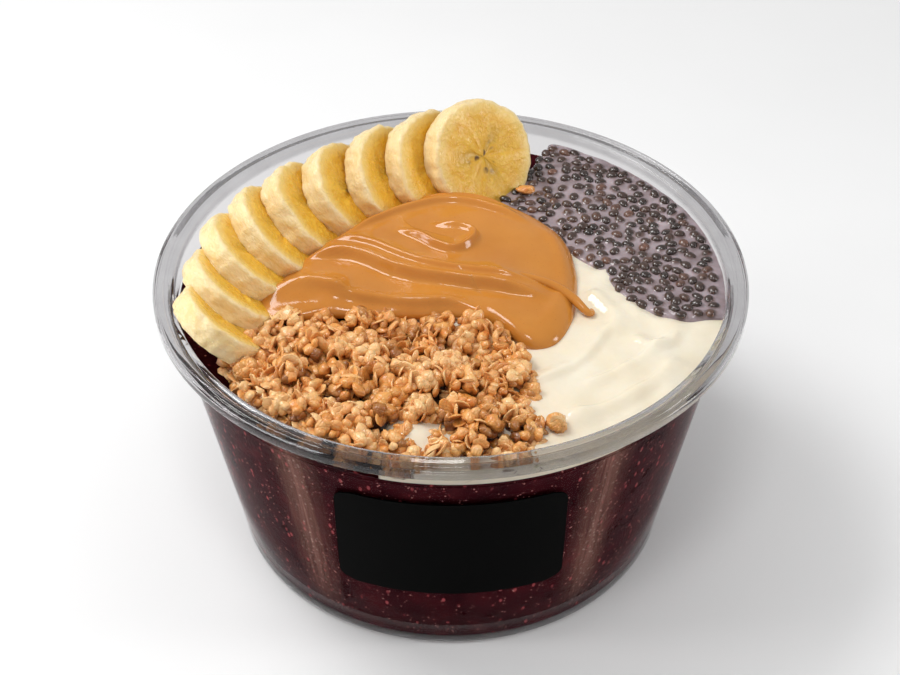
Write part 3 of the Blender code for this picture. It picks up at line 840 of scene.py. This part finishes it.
def make_butter():
    def low(x, y):
        return 73.9 - 1.8 * smoothstep(6.0, 22.0, x)

    butter = spread("nut_butter_fold", BUTTER_OUTLINE, BUTTER_CENTRE, 300, 200, low, butter_height, 9.0)
    material = nut_spread()
    finish_piece(butter, "nut_butter", material, "nut_butter")

    curl = bpy.data.curves.new("nut_butter_tail", "CURVE")
    curl.dimensions = "3D"
    curl.bevel_depth = 1.0 * MM
    curl.bevel_resolution = 6
    curl.use_fill_caps = True
    spline = curl.splines.new("NURBS")
    route = (
        (15.0, -3.0, 77.6, 0.9), (22.0, -5.2, 77.7, 1.1), (28.5, -8.6, 76.8, 1.25),
        (32.0, -12.6, 75.2, 1.15), (34.0, -14.6, 73.9, 0.95), (35.4, -14.2, 73.6, 0.7),
        (35.3, -12.6, 73.4, 0.45), (34.9, -11.8, 73.2, 0.15),
    )
    spline.points.add(len(route) - 1)
    for point, (x, y, z, thick) in zip(spline.points, route):
        point.co = (x * MM, y * MM, z * MM, 1.0)
        point.radius = thick
    spline.use_endpoint_u = True
    spline.order_u = 4
    spline.resolution_u = 12
    tail = bpy.data.objects.new("nut_butter_tail", curl)
    bpy.context.collection.objects.link(tail)
    activate(tail)
    bpy.ops.object.convert(target="MESH")
    tail = bpy.context.object
    bpy.ops.object.mode_set(mode="EDIT")
    bpy.ops.mesh.select_all(action="SELECT")
    bpy.ops.mesh.remove_doubles(threshold=0.01 * MM)
    bpy.ops.mesh.normals_make_consistent(inside=False)
    bpy.ops.object.mode_set(mode="OBJECT")
    smooth(tail)
    finish_piece(tail, "nut_butter", material)


# ---------------------------------------------------------------- banana

SLICE_COUNT = 9
ROW_CENTRE = (10.0, -22.5)
ROW_RADIUS = 64.0
ROW_FLOOR = 69.3
SLICE_THICKNESS = 6.6
SLICE_FORWARD = 0.65
SLICE_RADII = (12.8, 13.9, 14.8, 14.6, 14.4, 14.2, 14.2, 14.6, 15.8)


def slice_place(index):
    share = index / (SLICE_COUNT - 1)
    angle = math.radians(179.0 - 11.0 * index)
    azimuth = math.radians(25.0 - 77.0 * share ** 1.5)
    tilt = math.radians(48.0 - 20.0 * share ** 2)
    normal = Vector((
        math.cos(tilt) * math.cos(azimuth), math.cos(tilt) * math.sin(azimuth), math.sin(tilt),
    ))
    centre = Vector((
        ROW_CENTRE[0] + ROW_RADIUS * math.cos(angle),
        ROW_CENTRE[1] + ROW_RADIUS * math.sin(angle),
        ROW_FLOOR + SLICE_RADII[index] * math.cos(tilt),
    ))
    turn = Vector((0.0, 0.0, 1.0)).rotation_difference(normal).to_matrix()
    return np.array(turn), np.array(centre)


def slice_profile(radius, thickness):
    points = [(radius * share, 0.0) for share in (0.0, 0.08, 0.16, 0.26, 0.38, 0.5, 0.62, 0.74, 0.84, 0.91)]
    points += arc(radius - 1.1, -1.1, 1.1, 1.1, 78, 8, 6)
    points += [(radius + 0.05, -thickness * share) for share in (0.3, 0.4, 0.5, 0.6, 0.7)]
    points += arc(radius - 1.1, -thickness + 1.1, 1.1, 1.1, -8, -82, 5)
    points += [(radius * share, -thickness) for share in (0.8, 0.5, 0.2, 0.0)]
    return points


def make_banana(index, material):
    radius = SLICE_RADII[index]
    obj = spin_profile("banana_%d" % (index + 1), slice_profile(radius, SLICE_THICKNESS), 96)
    local = coordinates(obj)
    angle = np.arctan2(local[:, 1], local[:, 0])
    away = np.hypot(local[:, 0], local[:, 1]) / radius
    seed = index * 3.7
    uneven = np.array([
        noise.noise(Vector((math.cos(a) * 1.3, math.sin(a) * 1.3, seed))) * 0.55
        + noise.noise(Vector((math.cos(a) * 7.0, math.sin(a) * 7.0, seed + z * 0.35))) * 0.42
        for a, z in zip(angle, local[:, 2])
    ])
    lobes = np.cos(3 * angle + seed)
    growth = 1 + smoothstep(0.3, 1.0, away) * (uneven - 0.15) / radius * 1.6
    spot = np.stack([local[:, 0] / radius, local[:, 1] / radius, local[:, 2] / SLICE_THICKNESS + seed], 1)
    shaped = local.copy()
    shaped[:, 0] *= growth
    shaped[:, 1] *= growth
    on_face = smoothstep(-0.3, 0.0, local[:, 2])
    dish = -0.5 * smoothstep(0.75, 0.3, away) - 0.35 * smoothstep(0.3, 0.08, away)
    groove = -0.35 * smoothstep(0.75, 1.0, lobes) * smoothstep(0.1, 0.25, away) * smoothstep(0.7, 0.5, away)
    shaped[:, 2] += on_face * (dish + groove)
    turn, centre = slice_place(index)
    shaped[:, 2] += SLICE_FORWARD
    place_vertices(obj, shaped @ turn.T + centre)
    layer = obj.data.attributes.new("slice_place", "FLOAT_VECTOR", "POINT")
    layer.data.foreach_set("vector", spot.astype(np.float32).ravel())
    smooth(obj)
    finish_piece(obj, "banana", material, "banana_slice_%d" % (index + 1))


# ---------------------------------------------------------------- granola

HEAP_OUTLINE = (
    (-53.0, -37.5), (-47.5, -44.5), (-39.5, -52.5), (-28.0, -60.0), (-14.0, -66.0), (0.0, -67.5),
    (14.0, -66.0), (22.0, -60.0), (21.0, -53.0), (16.0, -48.0), (20.5, -42.0), (19.5, -36.0), (17.0, -31.0),
    (13.5, -26.0), (9.0, -22.0), (0.0, -19.5), (-9.0, -19.0), (-20.0, -18.0), (-29.0, -16.5), (-38.0, -17.0),
    (-46.0, -19.0), (-51.0, -24.5), (-53.0, -31.0),
)
HEAP_CENTRE = (-15.0, -38.0)
NUT_BIT = (20.5, 38.0, 74.9)


def heap_height(x, y):
    height = 74.4 + 1.8 * smoothstep(40.0, 8.0, np.hypot((x + 16) * 0.8, (y + 28) * 1.1))
    height -= 1.6 * smoothstep(58.0, 68.0, np.hypot(x, y))
    height -= 1.5 * smoothstep(20.0, 34.0, -x) * smoothstep(-30.0, -21.0, y)
    return height + 0.9 * wavy(x, y, 6.0, 1.5)


# The lower granola under the clusters, coloured far darker than the oats as painted shade that shows in the
# gaps between them.
def make_heap_core():
    def low(x, y):
        return np.full(len(x), ACAI_TOP + 0.2)

    def top(x, y):
        patch = np.exp(-(((x + 8.0) / 8.0) ** 2 + ((y + 58.0) / 8.0) ** 2))
        return heap_height(x, y) - 3.6 - 4.5 * patch + 0.8 * wavy(x, y, 2.6, 12.0)

    inner = tuple(
        (HEAP_CENTRE[0] + (x - HEAP_CENTRE[0]) * 0.93, HEAP_CENTRE[1] + (y - HEAP_CENTRE[1]) * 0.93)
        for x, y in HEAP_OUTLINE
    )
    core = spread("granola_shade_core", inner, HEAP_CENTRE, 200, 120, low, top, 14.0, INNER_REACH - 1.5)
    give_tint(core, 0.2)
    dark = toasted_oats("oats_shade", (0.30, 0.13, 0.045), (0.12, 0.04, 0.010), (0.05, 0.016, 0.005))
    finish_piece(core, "granola", dark, "granola")


def lump_shape(rng, base, size, stretch, rough):
    """One knobbly oat lump as an array of places."""
    body = base * size * stretch
    shift = rng.uniform(0, 50, 3)
    for i in range(len(body)):
        point = Vector(base[i] * 1.1) + Vector(shift)
        body[i] *= 1 + rough * noise.noise(point * 1.3)
    turn = Euler(tuple(rng.uniform(0, 2 * math.pi, 3))).to_matrix()
    return body @ np.array(turn).T


def flake_shape(rng, base, size):
    """One bent rolled-oat flake as an array of places."""
    body = base * np.array([size * rng.uniform(0.9, 1.2), size * rng.uniform(0.6, 0.8), size * 0.17])
    bend = rng.uniform(0.08, 0.22) / size
    body[:, 2] += bend * body[:, 0] ** 2 * 2.0
    crease = rng.uniform(-1, 1) * size * 0.2
    body[:, 2] -= 0.25 * size * np.exp(-((body[:, 1] - crease) / (0.22 * size)) ** 2) * 0.5
    turn = Euler(tuple(rng.uniform(0, 2 * math.pi, 3))).to_matrix()
    return body @ np.array(turn).T


def copies_of(name, faces, shapes, tints):
    """Join many copies of one small mesh, each with its own places and tint."""
    count = len(shapes[0])
    places = np.concatenate(shapes)
    out = np.hypot(places[:, 0], places[:, 1])
    limit = np.where(places[:, 2] > SHOULDER_Z + 0.9, INNER_REACH - 0.15, WALL_TOP_RADIUS - WALL - 0.2)
    squeeze = np.minimum(1.0, limit / np.maximum(out, 1e-6))
    below_rim = places[:, 2] < BOWL_TOP + 0.4
    places[:, 0] = np.where(below_rim, places[:, 0] * squeeze, places[:, 0])
    places[:, 1] = np.where(below_rim, places[:, 1] * squeeze, places[:, 1])
    all_faces = np.concatenate([faces + i * count for i in range(len(shapes))])
    mesh = bpy.data.meshes.new(name)
    mesh.from_pydata((places * MM).tolist(), [], all_faces.tolist())
    obj = bpy.data.objects.new(name, mesh)
    bpy.context.collection.objects.link(obj)
    layer = mesh.attributes.new("tint", "FLOAT", "POINT")
    layer.data.foreach_set("value", np.concatenate(tints).astype(np.float32))
    smooth(obj)
    return obj


def small_mesh(subdivisions):
    deselect()
    bpy.ops.mesh.primitive_ico_sphere_add(subdivisions=subdivisions, radius=1.0)
    obj = bpy.context.object
    places = coordinates(obj) * MM
    faces = np.array([list(face.vertices) for face in obj.data.polygons])
    bpy.data.objects.remove(obj)
    return places, faces


def heap_spots(rng, spacing, count):
    taken = []
    tries = 0
    while len(taken) < count and tries < 20000:
        tries += 1
        x, y = rng.uniform(-60, 24), rng.uniform(-68, -8)
        if math.hypot(x, y) > INNER_REACH - 1.5:
            continue
        angle = math.atan2(y - HEAP_CENTRE[1], x - HEAP_CENTRE[0])
        reach = float(outline_radius(HEAP_OUTLINE, HEAP_CENTRE, np.array([angle]))[0])
        if math.hypot(x - HEAP_CENTRE[0], y - HEAP_CENTRE[1]) > reach - 0.5:
            continue
        if all((x - a) ** 2 + (y - b) ** 2 > spacing ** 2 for a, b in taken):
            taken.append((x, y))
    return taken


def make_granola():
    """Clusters of oat nodules and flakes, with painted shade making the gaps between them dark."""
    rng = np.random.default_rng(5)
    knob, knob_faces = small_mesh(2)
    groups = {"knobs": ([], []), "flakes": ([], [])}

    def add(kind, body, tone, top):
        # Painted shade: each piece is darkened towards the bottom of its cluster and lightened a little at
        # the top; tone is the lump's own colour.
        shade = smoothstep(top - 4.4, top - 0.2, body[:, 2])
        groups[kind][0].append(body)
        groups[kind][1].append(np.clip(tone * (0.08 + 0.92 * shade) + 0.16 * shade, 0, 1))

    def cluster(x, y, z, size):
        tone = np.clip(rng.normal(0.56, 0.2), 0.12, 0.98)
        stretch = np.array([rng.uniform(0.85, 1.25), rng.uniform(0.85, 1.15), rng.uniform(0.65, 0.85)])
        count = int(10 + 9 * (size / 3.2) ** 2)
        for i in range(count):
            up = 1 - 1.55 * (i + 0.5) / count
            around = i * 2.39996 + rng.uniform(-0.35, 0.35)
            flat = math.sqrt(max(0.0, 1 - up * up))
            spot = np.array([flat * math.cos(around), flat * math.sin(around), up])
            offset = spot * size * stretch * rng.uniform(0.72, 1.08)
            own = np.clip(tone + rng.normal(0, 0.16), 0, 1)
            if rng.random() < 0.42:
                body = flake_shape(rng, knob, rng.uniform(1.8, 2.7))
                add("flakes", body + offset + (x, y, z), min(1.0, own + 0.12), z + size * 0.8)
            else:
                body = lump_shape(rng, knob, rng.uniform(1.0, 1.75), rng.uniform(0.7, 1.3, 3), 0.55)
                add("knobs", body + offset + (x, y, z), own, z + size * 0.8)

    spots = [s for s in heap_spots(rng, 6.1, 130) if math.hypot((s[0] + 8.0) * 0.8, s[1] + 57.0) > 4.5]
    heights = heap_height(np.array([s[0] for s in spots]), np.array([s[1] for s in spots]))
    for (x, y), z in zip(spots, heights):
        cluster(x, y, z + rng.uniform(-2.2, 1.2), rng.uniform(2.3, 3.9))
    for x, y in heap_spots(rng, 4.6, 170):
        z = float(heap_height(np.array([x]), np.array([y]))[0])
        cluster(x, y, z - rng.uniform(2.4, 3.4), rng.uniform(1.5, 2.3))
    for x, y, z, size in ((24.6, -54.5, 73.6, 1.1), (-7.0, -50.5, 75.0, 2.6), (-2.5, -64.0, 73.8, 2.4)):
        cluster(x, y, z, size)

    oats = toasted_oats("oats_toasted", (1.0, 0.64, 0.29), (0.87, 0.40, 0.095), (0.17, 0.046, 0.006))
    for kind, (shapes, tones) in groups.items():
        finish_piece(copies_of("granola_" + kind, knob_faces, shapes, tones), "granola", oats)
    make_nut_bit(NUT_BIT[0], NUT_BIT[1], NUT_BIT[2], 1.7, oats)


def make_nut_bit(x, y, z, size, oats):
    """A small toasted crumb lying on its own."""
    deselect()
    bpy.ops.mesh.primitive_ico_sphere_add(subdivisions=3, radius=1.0)
    bit = bpy.context.object
    bit.name = bit.data.name = "nut_bit"
    unit = coordinates(bit) * MM
    lumpy = np.array([1 + 0.35 * noise.noise(Vector(point) * 1.6) for point in unit])
    place_vertices(bit, unit * lumpy[:, None] * size * np.array([1.6, 0.8, 0.6]) + np.array([x, y, z]))
    give_tint(bit, 0.55)
    smooth(bit)
    finish_piece(bit, "granola", oats)


# ---------------------------------------------------------------- room

def make_room():
    deselect()
    bpy.ops.mesh.primitive_plane_add(size=6.0, location=(0.0, 0.0, 0.0))
    floor = bpy.context.object
    floor.name = "floor"
    floor.data.materials.append(floor_card())

    world = bpy.context.scene.world or bpy.data.worlds.new("room")
    bpy.context.scene.world = world
    world.use_nodes = True
    world.node_tree.nodes["Background"].inputs["Color"].default_value = (1.0, 1.0, 1.0, 1.0)
    world.node_tree.nodes["Background"].inputs["Strength"].default_value = 0.46

    def area(name, place, target, width, height, power, colour=(1.0, 1.0, 1.0)):
        light = bpy.data.lights.new(name, "AREA")
        light.shape = "RECTANGLE"
        light.size = width
        light.size_y = height
        light.energy = power
        light.color = colour
        obj = bpy.data.objects.new(name, light)
        bpy.context.scene.collection.objects.link(obj)
        obj.location = place
        direction = Vector(target) - Vector(place)
        obj.rotation_euler = direction.to_track_quat("-Z", "Y").to_euler()

    area("overhead_softbox", (-0.34, 0.14, 0.62), (0.0, 0.0, 0.06), 0.3, 0.3, 2.5)
    area("front_softbox", (-0.04, -0.30, 0.78), (0.0, 0.0, 0.06), 0.16, 0.16, 0.9)
    area("left_strip", (-0.55, -0.12, 0.16), (0.0, 0.0, 0.05), 0.12, 0.4, 1.2)
    area("right_strip", (0.55, -0.10, 0.16), (0.0, 0.0, 0.05), 0.12, 0.4, 1.2)

    camera_data = bpy.data.cameras.new("camera")
    camera = bpy.data.objects.new("camera", camera_data)
    bpy.context.scene.collection.objects.link(camera)
    down = math.radians(39.3)
    distance = 0.46875
    aim = Vector((-0.0002, 0.0, 0.0543))
    camera.location = aim + Vector((0.0, -distance * math.cos(down), distance * math.sin(down)))
    camera.rotation_euler = (math.pi / 2 - down, 0.0, 0.0)
    camera_data.sensor_width = 36.0
    camera_data.lens = 1795.0 / 900.0 * 36.0
    camera_data.clip_start = 0.01
    bpy.context.scene.camera = camera
    bpy.context.scene.view_settings.view_transform = "Standard"


make_bowl()
make_acai()
make_label()
make_yogurt()
make_chia()
make_butter()
BANANA = banana_flesh()
for number in range(SLICE_COUNT):
    make_banana(number, BANANA)
make_heap_core()
make_granola()
make_room()
